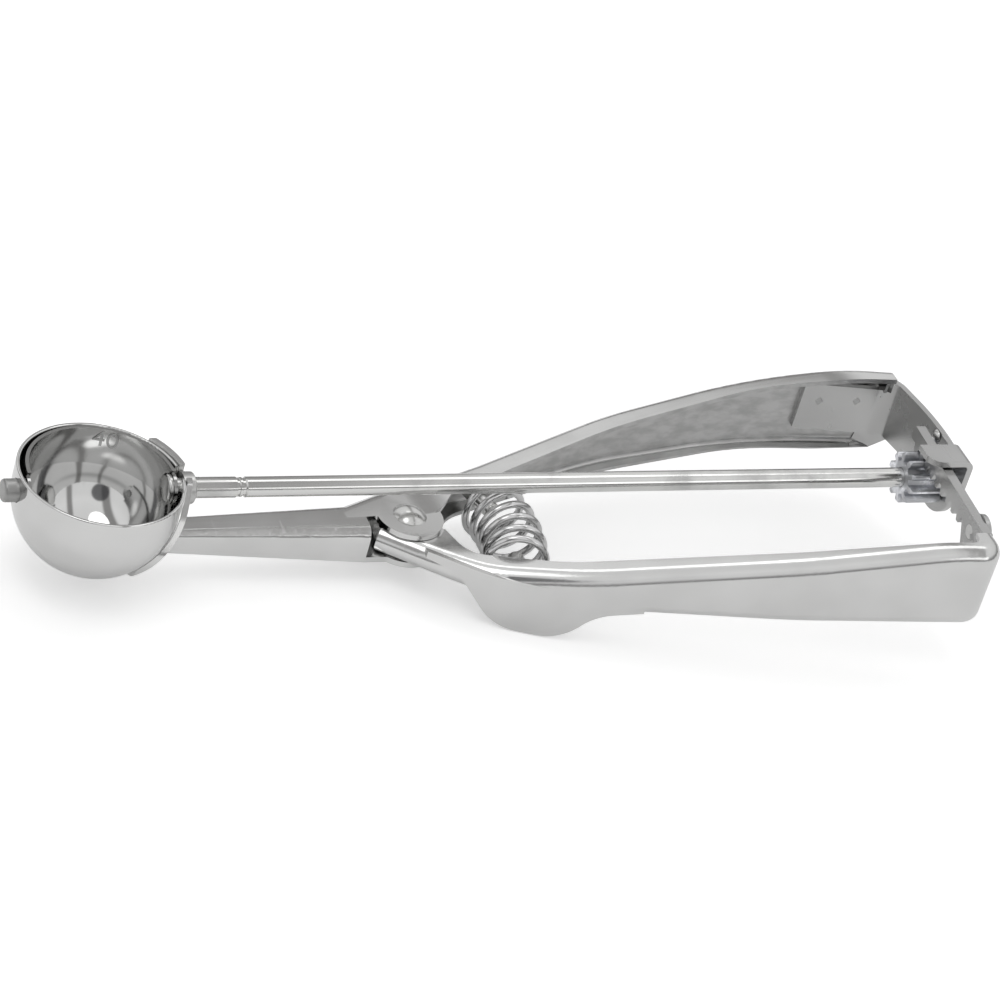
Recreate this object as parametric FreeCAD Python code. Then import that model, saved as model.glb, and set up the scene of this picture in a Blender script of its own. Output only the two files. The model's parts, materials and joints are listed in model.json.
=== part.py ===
"""Squeeze-handle ice cream scoop: bowl, turning scraper blade, rod, pinion, rack, lever and return spring.

Millimetres. While it is modelled, X runs along the rod from the bowl's centre to the handles, Y points from
the moving lever to the fixed handle, Z is up and the rod's axis is the X axis. Every piece is moved at the
end so that the origin lies under the middle of the scoop, on the surface that it lies on.
"""

import FreeCAD
import Part

import math
import os

V = FreeCAD.Vector
X_AXIS = V(1, 0, 0)
Z_AXIS = V(0, 0, 1)

# General clearances and stock
sheet = 1.0                     # sheet of the handles and the neck
running_gap = 0.08              # radial, a pin or shaft that turns in its hole
fixed_gap = 0.02                # radial, a rivet in the sheets that it holds
slide_gap = 0.1                 # between flat sheets that slide on each other
seat_gap = 0.05                 # between stacked fixed pieces on curved seats

# Bowl
bowl_radius = 15.2              # outside
bowl_wall = 0.7
bowl_drop = 0.8                 # the bowl's centre lies this far below the rod's axis
rim_height = 3.4                # rim above the rod's axis

# Scraper blade
blade_clearance = 0.35
blade_sheet = 0.6
blade_width = 7.6
blade_lug_radius = 3.0

# Pins, shaft and rod
pin_radius = 2.1
pin_proud = 2.5                 # of the front pin, outside the bowl
shaft_radius = 1.93
shaft_end = 25.7                # X where the blade's shaft meets the rod's turned groove
shaft_head_radius = 2.7
shaft_head_length = 0.9
groove_length = 1.7
groove_radius = 1.6
groove_ridge_radius = 1.82
groove_ridge_length = 0.5
rod_radius = 1.9
journal_radius = 1.45
journal_proud = 0.8

# Saddle behind the bowl
saddle_sheet = 1.0
saddle_top = 3.8
bushing_radius = 2.95
bushing_length = 1.3

# Neck
neck_front = 9.0                # starts under the bowl and is cut back to the saddle
neck_end = 52.8
neck_front_half = 2.7
neck_rear_half = 4.5
neck_front_top = -8.1
neck_front_bottom = -11.4
neck_front_round = 1.4
neck_rear_round = 2.4
strip_thickness = 1.2

# Pivot
pivot_x = 61.6
pivot_plate_top = -7.0
pivot_plate_bottom = -14.3
pivot_boss_radius = 6.4
lever_boss_radius = 5.8
boss_clearance = 0.4            # round the upper boss, where the lever's slope starts
rivet_radius = 2.0
rivet_head_radius = 3.2
rivet_head_height = 1.4
rivet_sink = 0.8                # depth of the flush tail's countersink

# Handles
handle_end_reach = 1.75         # the fixed handle's end, beyond the rack's plane
lever_end_reach = 0.35          # the lever's end, beyond the rack's plane
slope_start = 68.0
level_length = 10.0             # level stretch of the handles' tops at the rear
handle_top_rear = 8.9
handle_bottom_rear = -7.4
bend_radius = 3.0
bottom_bend_radius = 2.2
bottom_flange_short = 1.6       # the lower flange is this much narrower
profile_radius = 60.0           # of the bends in the handles' side view
lever_end_radius = 4.6
lever_end_edge = -28.9          # Y where the lever's rear wall ends

# Finger lobe under the lever
lobe_bottom = -18.8
lobe_middle_x = 79.6
lobe_radius = 9.0

# Motion
lever_swing = 7.0               # degrees, lever from rest to closed

# Rack and pinion
module = 0.85
pinion_teeth = 10
pinion_reach = 3.95             # the pinion's front, before the rack's plane
wall_gap = 0.35                 # pinion to the bracket's wall
pressure_angle = 20.0
backlash = 0.14
rack_thickness = 2.0
rack_distance = 104.65          # pivot to the middle plane of the rack
rack_lean = -3.0                # degrees, the rack plate at rest
rack_top = 8.2
rack_teeth = 9
rack_lead = 3.2                 # plain plate beyond the first tooth
rack_tab_length = 8.6
rack_tab_bottom = -1.6
rack_rivet_radius = 1.4
rack_rivet_head_radius = 3.1
rack_rivet_head_height = 1.0
rack_rivet_height = 5.2         # Z of its middle
mount_tab_sheet = 1.0
mount_tab_margin = 0.3          # around the rivet's head
mount_tab_bottom = -6.2
mount_tab_foot_top = 3.6

# End bracket
bracket_sheet = 1.2
bracket_wall_reach = 4.15       # its wall's front face, beyond the rack's plane
bracket_lobe_radius = 6.7
bracket_strip_bottom = -4.3
bracket_strip_top = 7.7
bracket_plate_length = 17.0     # inside the fixed handle
bracket_plate_half = 5.2
ear_length = 8.2
ear_near = -8.3
ear_far = -2.6
ear_bend = 1.9
ear_corner = 2.8
ear_gap = 0.3
stop_rivet_y = 4.6
stop_rivet_z = 6.2
stop_rivet_radius = 1.5
stop_shank_radius = 0.9
stop_rivet_proud = 0.9

# Return spring
spring_wire = 1.4
spring_coil_radius = 5.5
spring_turns = 5.5
spring_centre_x = 52.5
spring_centre_y = -2.7
spring_bow_radius = 28.0
spring_centre_z = -8.9
spring_far_angle = 17.5
spring_near_angle = -22.0
post_radius = 1.6
post_reach = 3.0                # into the spring
post_height = -9.1
post_rounding = 0.6

# Worked out
pitch_radius = module * pinion_teeth / 2
tooth_pitch = math.pi * module
pivot = V(pivot_x, 0, 0)
rack_plane = pivot_x + rack_distance
handle_rear = rack_plane + handle_end_reach
lever_rear = rack_plane + lever_end_reach
slope_end = handle_rear - level_length
pinion_front = rack_plane - pinion_reach
bracket_wall_front = rack_plane + bracket_wall_reach
bracket_plate_front = handle_rear - bracket_plate_length
ear_front = bracket_wall_front - ear_length
rod_end = bracket_wall_front - wall_gap
bowl_centre = V(0, 0, -bowl_drop)
blade_radius = bowl_radius - bowl_wall - blade_clearance
coupling_ratio = -rack_distance / math.cos(math.radians(rack_lean + lever_swing / 2)) / pitch_radius


def box(x0, x1, y0, y1, z0, z1):
    return Part.makeBox(x1 - x0, y1 - y0, z1 - z0, V(x0, y0, z0))


def rod_along_x(x0, x1, radius, y=0.0, z=0.0):
    return Part.makeCylinder(radius, x1 - x0, V(x0, y, z), X_AXIS)


def rod_along_z(z0, z1, radius, x=pivot_x, y=0.0):
    return Part.makeCylinder(radius, z1 - z0, V(x, y, z0), Z_AXIS)


def rounded_edges(points, radii, closed=False):
    """Straight runs through points, each corner rounded by its radius (0 leaves it sharp)."""
    count = len(points)
    cuts = []
    for i, corner in enumerate(points):
        inner = closed or 0 < i < count - 1
        if not inner or radii[i] <= 0:
            cuts.append((corner, None, corner))
            continue
        back = (points[i - 1] - corner).normalize()
        ahead = (points[(i + 1) % count] - corner).normalize()
        half = back.getAngle(ahead) / 2
        reach = radii[i] / math.tan(half)
        middle = (back + ahead).normalize() * (radii[i] / math.sin(half) - radii[i])
        cuts.append((corner + back * reach, corner + middle, corner + ahead * reach))
    edges = []
    for i, (start, middle, end) in enumerate(cuts):
        if middle is not None:
            edges.append(Part.Arc(start, middle, end).toShape())
        if i < count - 1 or closed:
            following = cuts[(i + 1) % count][0]
            if (following - end).Length > 1e-6:
                edges.append(Part.LineSegment(end, following).toShape())
    return edges


def rounded_face(points, radii):
    return Part.Face(Part.Wire(rounded_edges(points, radii, closed=True)))


def flat(points, z=0.0):
    """Plan points, as pairs, at one height."""
    return [V(x, y, z) for x, y in points]


def side(points, y=0.0):
    """Side-view points, as X and Z pairs."""
    return [V(x, y, z) for x, z in points]


def shifted(points, distance):
    """The same run of points moved sideways, to the left of its direction in the plane they lie in."""
    plane = FreeCAD.Vector(0, 0, 1) if abs(points[0].z - points[-1].z) < 1e-9 else FreeCAD.Vector(0, -1, 0)
    lefts = []
    for start, end in zip(points, points[1:]):
        lefts.append(plane.cross((end - start).normalize()))
    moved = [points[0] + lefts[0] * distance]
    for corner, before, after in zip(points[1:], lefts, lefts[1:]):
        mitre = (before + after).normalize()
        moved.append(corner + mitre * (distance / mitre.dot(before)))
    moved.append(points[-1] + lefts[-1] * distance)
    return moved


def turns_left(points, i):
    before = points[i] - points[i - 1]
    after = points[i + 1] - points[i]
    if abs(points[0].z - points[-1].z) < 1e-9:
        return before.cross(after).z > 0
    return before.cross(after).y < 0


def ribbon(points, radii, thickness):
    """Face of a bent strip seen edge on; radii are those of its middle line."""
    faces = []
    for distance in (thickness / 2, -thickness / 2):
        line = shifted(points, distance)
        own = list(radii)
        for i in range(1, len(points) - 1):
            if radii[i] > 0:
                own[i] = radii[i] - distance if turns_left(points, i) else radii[i] + distance
        faces.append((line, own))
    left, right = faces
    loop = left[0] + right[0][::-1]
    loop_radii = list(left[1]) + list(right[1])[::-1]
    for i in (0, len(points) - 1, len(points), 2 * len(points) - 1):
        loop_radii[i] = 0
    return rounded_face(loop, loop_radii)


def fillet_where(shape, radius, chosen):
    edges = [edge for edge in shape.Edges if chosen(edge)]
    return shape.makeFillet(radius, edges)


def on_line(line_edges, edge, skip_vertical=True):
    """True where an edge runs above or below a plan line."""
    first, last = edge.FirstParameter, edge.LastParameter
    spots = [edge.valueAt(first + (last - first) * share) for share in (0.1, 0.5, 0.9)]
    if skip_vertical:
        low = min(spot.z for spot in spots)
        high = max(spot.z for spot in spots)
        run = (V(spots[0].x, spots[0].y, 0) - V(spots[2].x, spots[2].y, 0)).Length
        if high - low > run:
            return False
    for spot in spots:
        point = Part.Vertex(V(spot.x, spot.y, 0))
        if min(point.distToShape(part)[0] for part in line_edges) > 0.02:
            return False
    return True


def handle_profile(top_front, bottom_front, inset, front, rear):
    """Side view of a handle, extruded right across; inset leaves the sheet outside."""
    top = top_front - inset
    bottom = bottom_front + inset
    top_end = handle_top_rear - inset
    bottom_end = handle_bottom_rear + inset
    points = side([
        (front, bottom), (front, top), (slope_start, top), (slope_end, top_end), (rear, top_end),
        (rear, bottom_end), (slope_start, bottom),
    ], -60)
    radii = [0, 0, profile_radius - inset, profile_radius + inset, 0, 0, profile_radius]
    return rounded_face(points, radii).extrude(V(0, 120, 0))


def channel(wall, wall_radii, edge, edge_radii, reach, levels, ends, closed_end):
    """A pressed handle: web along wall, flanges from it to edge, open towards reach.

    wall and edge are plan points from the neck to the rear, reach is the Y that the hollow is cut out to,
    levels are the heights of the top and the bottom at the pivot, ends are the front and rear X.
    """
    web = Part.Wire(rounded_edges(flat(wall), wall_radii))
    mouth = rounded_edges(flat(edge), edge_radii)
    top, bottom = levels
    plan = Part.Face(Part.Wire(Part.__sortEdges__(
        web.Edges + mouth + joining(wall[-1], edge[-1]) + joining(edge[0], wall[0]))))
    height = handle_top_rear - bottom + 20
    block = plan.extrude(V(0, 0, height))
    block.translate(V(0, 0, bottom - 10))
    front, rear = ends
    block = block.common(handle_profile(top, bottom, 0, front - 20, rear + 20))
    upper = [edge_ for edge_ in block.Edges if on_line(web.Edges, edge_) and is_upper(edge_, bottom)]
    block = block.makeFillet(bend_radius, upper)
    lower = [edge_ for edge_ in block.Edges if on_line(web.Edges, edge_) and is_lowest(edge_, bottom)]
    block = block.makeFillet(bottom_bend_radius, lower)

    inner_wall = shifted(flat(wall), -sheet if reach < 0 else sheet)
    inner_radii = list(wall_radii)
    for i in range(1, len(wall) - 1):
        if wall_radii[i] > 0:
            left = turns_left(flat(wall), i)
            grow = sheet if reach < 0 else -sheet
            inner_radii[i] = wall_radii[i] + (grow if left else -grow)
    before = (inner_wall[0] - inner_wall[1]).normalize()
    after = (inner_wall[-1] - inner_wall[-2]).normalize()
    line = [inner_wall[0] + before * 12] + inner_wall[1:-1]
    line.append(inner_wall[-1] if closed_end else inner_wall[-1] + after * 12)
    run = rounded_edges(line, inner_radii)
    corners = [line[-1], V(line[-1].x, reach, 0), V(line[0].x, reach, 0), line[0]]
    closing = [Part.LineSegment(a, b).toShape() for a, b in zip(corners, corners[1:])]
    hollow = Part.Face(Part.Wire(Part.__sortEdges__(run + closing))).extrude(V(0, 0, height))
    hollow.translate(V(0, 0, bottom - 10))
    hollow = hollow.common(handle_profile(top, bottom, sheet, front - 40, rear + 40))
    upper = [edge_ for edge_ in hollow.Edges if on_line(run, edge_) and is_upper(edge_, bottom)]
    hollow = hollow.makeFillet(bend_radius - sheet, upper)
    lower = [edge_ for edge_ in hollow.Edges if on_line(run, edge_) and is_lowest(edge_, bottom)]
    hollow = hollow.makeFillet(bottom_bend_radius - sheet, lower)
    return block.cut(hollow)


def joining(start, end):
    """Straight edge between two plan points, or none where they are the same."""
    if start == end:
        return []
    return [Part.LineSegment(*flat([start, end])).toShape()]


def is_upper(edge, bottom):
    middle = edge.valueAt((edge.FirstParameter + edge.LastParameter) / 2)
    rise = max(0.0, min(1.0, (middle.x - slope_start) / (slope_end - slope_start)))
    lower = bottom + rise * (handle_bottom_rear - bottom)
    return middle.z > lower + 3.5


def is_lowest(edge, bottom):
    return not is_upper(edge, bottom)


def make_bowl():
    """Deep half ball with a straight collar, open at the top, holed for the pin and notched for the shaft."""
    inner = bowl_radius - bowl_wall
    low = V(0, 0, -bowl_drop - bowl_radius)
    outline = [
        Part.Arc(low, bowl_centre + V(bowl_radius * math.sin(math.pi / 4), 0, -bowl_radius * math.cos(math.pi / 4)),
                 bowl_centre + V(bowl_radius, 0, 0)).toShape(),
        Part.LineSegment(bowl_centre + V(bowl_radius, 0, 0), V(bowl_radius, 0, rim_height)).toShape(),
        Part.LineSegment(V(bowl_radius, 0, rim_height), V(inner, 0, rim_height)).toShape(),
        Part.LineSegment(V(inner, 0, rim_height), bowl_centre + V(inner, 0, 0)).toShape(),
        Part.Arc(bowl_centre + V(inner, 0, 0),
                 bowl_centre + V(inner * math.sin(math.pi / 4), 0, -inner * math.cos(math.pi / 4)),
                 bowl_centre + V(0, 0, -inner)).toShape(),
        Part.LineSegment(bowl_centre + V(0, 0, -inner), low).toShape(),
    ]
    bowl = Part.Face(Part.Wire(outline)).revolve(V(0, 0, 0), Z_AXIS, 360)
    rim = [edge for edge in bowl.Edges if abs(edge.BoundBox.ZMin - rim_height) < 1e-6
           and abs(edge.BoundBox.ZMax - rim_height) < 1e-6 and edge.Length > 10]
    bowl = bowl.makeFillet(bowl_wall * 0.4, rim)
    bowl = bowl.cut(rod_along_x(-bowl_radius - 1, -bowl_radius + 3, pin_radius + running_gap))
    notch = shaft_radius + running_gap
    bowl = bowl.cut(rod_along_x(bowl_radius - 3, bowl_radius + 1, notch))
    return bowl.cut(box(bowl_radius - 3, bowl_radius + 1, -notch, notch, 0, rim_height + 1))


def make_saddle():
    """Dished plate behind the bowl, from the neck up to the rim, with the shaft's hole."""
    inner = bowl_radius + seat_gap
    outer = inner + saddle_sheet
    ball = Part.makeSphere(outer, bowl_centre)
    core = Part.makeSphere(inner, bowl_centre)
    collar_height = saddle_top + bowl_drop
    collar = Part.makeCylinder(outer, collar_height, bowl_centre, Z_AXIS)
    collar_core = Part.makeCylinder(inner, collar_height + 1, bowl_centre, Z_AXIS)
    below = box(-20, 20, -20, 20, -40, -bowl_drop)
    shell = ball.common(below).cut(core).fuse(collar.cut(collar_core))
    outline = [
        V(0, -3.0, saddle_top + 1), V(0, -3.4, 3.4), V(0, -7.0, -1.2), V(0, -10.9, -8.4), V(0, -7.5, -15.0),
        V(0, 7.5, -15.0), V(0, 11.2, -7.0), V(0, 9.6, saddle_top + 1),
    ]
    blank = rounded_face(outline, [0, 3, 12, 4, 5, 5, 12, 0]).extrude(V(20, 0, 0))
    saddle = shell.common(blank).cut(box(-20, 6.5, -20, 20, -40, 20))
    hole = bushing_radius + fixed_gap
    saddle = saddle.cut(rod_along_x(10, 20, hole))
    slot = shaft_radius + running_gap
    saddle = saddle.cut(box(10, 20, -slot, slot, 0, saddle_top + 1))
    return saddle.removeSplitter()


def make_bushing():
    """Collar in the saddle that carries the blade's shaft."""
    front = bowl_radius + seat_gap
    collar = rod_along_x(front, front + saddle_sheet + bushing_length, bushing_radius)
    collar = fillet_where(collar, 0.4, lambda edge: edge.BoundBox.XMin > front + 1 and edge.Length > 15)
    bowl_space = Part.makeSphere(bowl_radius + seat_gap, bowl_centre)
    bowl_space = bowl_space.fuse(Part.makeCylinder(bowl_radius + seat_gap, 10, bowl_centre, Z_AXIS))
    return collar.cut(bowl_space).cut(rod_along_x(10, 25, shaft_radius + running_gap))


def neck_section(x, half, top, bottom, rounding, inset):
    half -= inset
    top -= inset
    rounding -= inset * 0.9
    points = [V(x, -half, bottom), V(x, -half, top), V(x, half, top), V(x, half, bottom)]
    return Part.Wire(rounded_edges(points, [0, rounding, rounding, 0], closed=True))


def neck_values(x):
    share = (x - bowl_radius) / (neck_end - bowl_radius)
    half = neck_front_half + (neck_rear_half - neck_front_half) * share
    top = neck_front_top + (pivot_plate_top - neck_front_top) * share
    rear_bottom = pivot_plate_bottom + strip_thickness
    bottom = neck_front_bottom + (rear_bottom - neck_front_bottom) * share
    rounding = neck_front_round + (neck_rear_round - neck_front_round) * share
    return half, top, bottom, rounding


def saddle_space():
    return Part.makeSphere(bowl_radius + seat_gap + saddle_sheet, bowl_centre)


def make_neck():
    """Tapered channel, rounded at the top and open below."""
    outer = []
    for x in (neck_front, neck_end):
        half, top, bottom, rounding = neck_values(x)
        outer.append(neck_section(x, half, top, bottom, rounding, 0))
    inner = []
    for x in (neck_front - 1, neck_end + 1):
        half, top, bottom, rounding = neck_values(x)
        inner.append(neck_section(x, half, top, bottom - 1, rounding, sheet))
    shell = Part.makeLoft(outer, True, True).cut(Part.makeLoft(inner, True, True))
    return shell.cut(saddle_space())


fixed_wall = [(49.0, 4.35), (57.0, 8.0), (80.0, 13.7), (108.0, 22.2), (140.0, 26.8), (handle_rear, 23.9)]
fixed_wall_radii = [0, 10, 40, 80, 110, 0]
fixed_edge = [(49.0, -2.0), (68.2, -1.2), (74.6, 6.1), (84.0, 9.3), (108.0, 16.9), (140.0, 21.9),
              (handle_rear - 12.0, 20.0), (handle_rear, 19.4)]
fixed_edge_radii = [0, 5, 8, 60, 90, 60, 60, 0]
lever_wall = [(54.3, -3.6), (72.0, -17.4), (88.0, -23.4), (128.0, -31.0), (lever_rear, -35.6),
              (lever_rear, lever_end_edge)]
lever_wall_radii = [0, 24, 70, 170, lever_end_radius, 0]
lever_edge = [(54.3, -3.6), (57.4, 0.4), (67.2, -1.4), (69.6, -10.6), (86.0, -17.9), (128.0, -26.4),
              (lever_rear - 5.0, -31.9), (lever_rear - 4.6, lever_end_edge),
              (lever_rear, lever_end_edge)]
lever_edge_radii = [0, 0, 3, 7, 40, 90, 1.6, 0, 0]


def make_frame_upper():
    """Neck, upper pivot plate and fixed handle, pressed from one sheet."""
    top = pivot_plate_top
    bottom = pivot_plate_bottom
    handle = channel(fixed_wall, fixed_wall_radii, fixed_edge, fixed_edge_radii, -40, (top, bottom),
                     (49.0, handle_rear), False)
    strip_room = box(40, slope_start + 4, -20, 30, bottom - 1, bottom + strip_thickness)
    handle = handle.cut(strip_room)
    lower_lip = box(slope_start - 20, handle_rear + 1, -40, 60, -40, 0)
    mouth = shifted(flat(fixed_edge), bottom_flange_short)
    trim_edges = rounded_edges(mouth, fixed_edge_radii)
    corners = [mouth[-1], V(mouth[-1].x, -40, 0), V(mouth[0].x, -40, 0), mouth[0]]
    closing = [Part.LineSegment(a, b).toShape() for a, b in zip(corners, corners[1:])]
    trim = Part.Face(Part.Wire(Part.__sortEdges__(trim_edges + closing))).extrude(V(0, 0, 40))
    trim.translate(V(0, 0, -40))
    under = handle_profile(top, bottom, sheet * 1.5, 40, handle_rear + 10)
    trim = trim.cut(under.fuse(box(30, 200, -60, 60, 0, 30))).common(lower_lip)
    trim = trim.cut(box(30, 200, -60, 60, -5.8, 30))
    handle = handle.cut(trim)
    boss = rod_along_z(top - sheet, top, pivot_boss_radius)
    frame = handle.fuse(boss).fuse(make_neck())
    hole = rod_along_z(top - 2, top + 1, rivet_radius + fixed_gap)
    head_room = rod_along_z(top, top + 1, rivet_head_radius + fixed_gap)
    return frame.cut(hole).cut(head_room).removeSplitter()


def make_frame_lower(frame_upper):
    """Strip under the neck that ends in the lower pivot plate, fitted to the upper pressing."""
    wires = []
    for x in (neck_front, neck_end):
        half, _, bottom, _ = neck_values(x)
        points = [V(x, -half, bottom), V(x, half, bottom), V(x, half, bottom - strip_thickness),
                  V(x, -half, bottom - strip_thickness)]
        wires.append(Part.Wire(rounded_edges(points, [0] * 4, closed=True)))
    strip = Part.makeLoft(wires, True, True).cut(saddle_space())
    bottom = pivot_plate_bottom
    half = neck_rear_half
    plate = rounded_face(flat([(neck_end - 0.2, -half), (57.0, -half), (66.0, -1.0), (66.0, 6.0), (57.0, 7.0),
                               (neck_end - 0.2, half)], bottom), [0, 3, 3, 3, 3, 0])
    plate = plate.extrude(V(0, 0, strip_thickness))
    boss = rod_along_z(bottom, bottom + strip_thickness, pivot_boss_radius)
    hole = rod_along_z(bottom - 1, bottom + 3, rivet_radius + fixed_gap)
    hole = hole.fuse(rivet_tail(fixed_gap))
    return strip.fuse(plate).fuse(boss).cut(hole).cut(frame_upper).removeSplitter()


def lever_levels():
    top = pivot_plate_top - sheet - slide_gap
    bottom = pivot_plate_bottom + strip_thickness + slide_gap
    return top, bottom


def make_lever():
    """Moving handle: a channel closed at the rear, with a finger lobe and two pivot bosses."""
    top, bottom = lever_levels()
    lever = channel(lever_wall, lever_wall_radii, lever_edge, lever_edge_radii, 40, (top, bottom),
                    (54.3, lever_rear), True)
    for z in (top - sheet, bottom):
        lever = lever.fuse(rod_along_z(z, z + sheet, lever_boss_radius))
    lobe_points = side([
        (62.0, -9.4), (67.2, -10.2), (lobe_middle_x - 5.2, lobe_bottom), (lobe_middle_x + 7.0, lobe_bottom),
        (91.0, -12.6), (100.0, -10.9), (100.0, -8.0), (62.0, -8.0),
    ], -40)
    lobe_radii = [0, 5, lobe_radius, lobe_radius, 9, 0, 0, 0]
    outline = rounded_face(lobe_points, lobe_radii).extrude(V(0, 40, 0))
    skin_points = shifted(flat(lever_wall[:4]), sheet / 2)
    skin = ribbon(skin_points, [0, 24 - sheet / 2, 70 - sheet / 2, 0], sheet).extrude(V(0, 0, 14))
    skin.translate(V(0, 0, -21))
    lever = lever.fuse(skin.common(outline))
    lever = lever.cut(rod_along_z(top, top + 2, pivot_boss_radius + boss_clearance))
    return lever.cut(rod_along_z(bottom - 1, top + 1, rivet_radius + running_gap)).removeSplitter()


def rivet_tail(gap):
    """Countersunk tail, flush with the lower plate, or with a gap the room for it."""
    return Part.makeCone(rivet_radius + rivet_sink + gap, rivet_radius + gap, rivet_sink,
                         V(pivot_x, 0, pivot_plate_bottom), Z_AXIS)


def make_pivot_rivet():
    """Dome-headed rivet with a flush tail that the lever turns on."""
    top = pivot_plate_top
    shank = rod_along_z(pivot_plate_bottom, top, rivet_radius)
    ball = (rivet_head_radius ** 2 + rivet_head_height ** 2) / (2 * rivet_head_height)
    dome = Part.makeSphere(ball, V(pivot_x, 0, top + rivet_head_height - ball))
    dome = dome.common(rod_along_z(top, top + rivet_head_height + 1, rivet_head_radius))
    return shank.fuse(dome).fuse(rivet_tail(0)).removeSplitter()


def make_blade():
    """Half ring that wipes the bowl; at rest it lies against the far wall."""
    shell = Part.makeSphere(blade_radius, V(0, 0, 0), X_AXIS)
    shell = shell.cut(Part.makeSphere(blade_radius - blade_sheet, V(0, 0, 0), X_AXIS))
    half = blade_width / 2
    band = box(-20, 20, 0, 20, -half, half)
    lugs = rod_along_x(-20, 20, blade_lug_radius)
    blade = shell.common(band.fuse(lugs))
    blade = blade.cut(rod_along_x(-20, 0, pin_radius - 0.7 + fixed_gap))
    return blade.cut(rod_along_x(0, 20, shaft_radius + fixed_gap)).removeSplitter()


def make_blade_pin():
    """Front pin: riveted to the blade, turning in the bowl's wall, with a proud round head."""
    inside = blade_radius - blade_sheet
    head_front = -bowl_radius - pin_proud
    head = rod_along_x(head_front, -blade_radius, pin_radius)
    head = fillet_where(head, 0.5, lambda edge: edge.BoundBox.XMax < head_front + 0.1)
    neck = rod_along_x(-blade_radius - 0.01, -inside + 0.7, pin_radius - 0.7)
    return head.fuse(neck).removeSplitter()


def make_blade_shaft():
    """Stub shaft from the blade through the bushing to the rod, headed inside the blade."""
    inside = blade_radius - blade_sheet - 0.35
    shaft = rod_along_x(inside, shaft_end, shaft_radius)
    head = rod_along_x(inside - shaft_head_length, inside, shaft_head_radius)
    head = fillet_where(head, 0.6, lambda edge: edge.BoundBox.XMax < inside - shaft_head_length + 0.1)
    return shaft.fuse(head).removeSplitter()


def make_rod():
    """Long rod, turned down to a ridged groove in front and to a bearing journal behind."""
    gap = (groove_length - groove_ridge_length) / 2
    stations = [
        (shaft_end, groove_radius), (shaft_end + gap, groove_radius), (shaft_end + gap, groove_ridge_radius),
        (shaft_end + gap + groove_ridge_length, groove_ridge_radius),
        (shaft_end + gap + groove_ridge_length, groove_radius), (shaft_end + groove_length, groove_radius),
        (shaft_end + groove_length, rod_radius - 0.2), (shaft_end + groove_length + 0.2, rod_radius),
        (rod_end, rod_radius), (rod_end, journal_radius),
        (bracket_wall_front + bracket_sheet + journal_proud, journal_radius),
    ]
    points = [V(x, 0, r) for x, r in stations]
    points.append(V(stations[-1][0], 0, 0))
    points.insert(0, V(stations[0][0], 0, 0))
    return Part.Face(Part.makePolygon(points + [points[0]])).revolve(V(0, 0, 0), X_AXIS, 360)


def tooth_half_angle(radius):
    """Half the angle that a pinion tooth takes at a radius; below the base circle its sides are radial."""
    base = pitch_radius * math.cos(math.radians(pressure_angle))
    at_pitch = (tooth_pitch - backlash) / 4 / pitch_radius
    pitch_roll = math.tan(math.radians(pressure_angle)) - math.radians(pressure_angle)
    if radius <= base:
        return at_pitch + pitch_roll
    slope = math.acos(base / radius)
    return at_pitch + pitch_roll - (math.tan(slope) - slope)


def make_pinion():
    """Cast pinion, one tooth space up so that it meshes with a rack tooth above the rod."""
    tip = pitch_radius + module
    root = pitch_radius - 1.3 * module
    waist = pitch_radius - 0.62 * module
    edges = []
    step = 2 * math.pi / pinion_teeth
    last = None
    for k in range(pinion_teeth):
        middle = step * (k + 0.5)
        flank = []
        for radius, half in (
            (root, tooth_half_angle(pitch_radius) * 0.96), (waist, tooth_half_angle(pitch_radius) * 0.92),
            (pitch_radius, tooth_half_angle(pitch_radius)), (pitch_radius + 0.5 * module,
            tooth_half_angle(pitch_radius + 0.5 * module)), (tip, tooth_half_angle(tip)),
        ):
            flank.append((radius, half))
        rising = [V(0, r * math.sin(middle - h), r * math.cos(middle - h)) for r, h in flank]
        falling = [V(0, r * math.sin(middle + h), r * math.cos(middle + h)) for r, h in reversed(flank)]
        if last is not None:
            edges.append(Part.LineSegment(last, rising[0]).toShape())
        for a, b in zip(rising, rising[1:]):
            edges.append(Part.LineSegment(a, b).toShape())
        crown = V(0, tip * math.sin(middle), tip * math.cos(middle))
        edges.append(Part.Arc(rising[-1], crown, falling[0]).toShape())
        for a, b in zip(falling, falling[1:]):
            edges.append(Part.LineSegment(a, b).toShape())
        last = falling[-1]
    first = edges[0].Vertexes[0].Point
    edges.append(Part.LineSegment(last, first).toShape())
    body = Part.Face(Part.Wire(Part.__sortEdges__(edges))).extrude(V(rod_end - pinion_front, 0, 0))
    body.translate(V(pinion_front, 0, 0))
    rounding = rod_along_x(pinion_front, rod_end, tip)
    rounding = rounding.makeChamfer(0.5, [edge for edge in rounding.Edges if edge.Length > 10
                                          and edge.BoundBox.XLength < 0.1])
    return body.common(rounding).cut(rod_along_x(pinion_front - 1, rod_end + 1, rod_radius + fixed_gap))


def rack_placed(shape):
    """From the rack's own frame, where it stands square at the pivot, to its place at rest."""
    shape.rotate(V(0, 0, 0), Z_AXIS, rack_lean)
    shape.translate(pivot)
    return shape


def rack_mesh_y():
    """Y in the rack's own frame of the tooth that stands above the rod at rest."""
    return -rack_distance * math.tan(math.radians(rack_lean))


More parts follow.
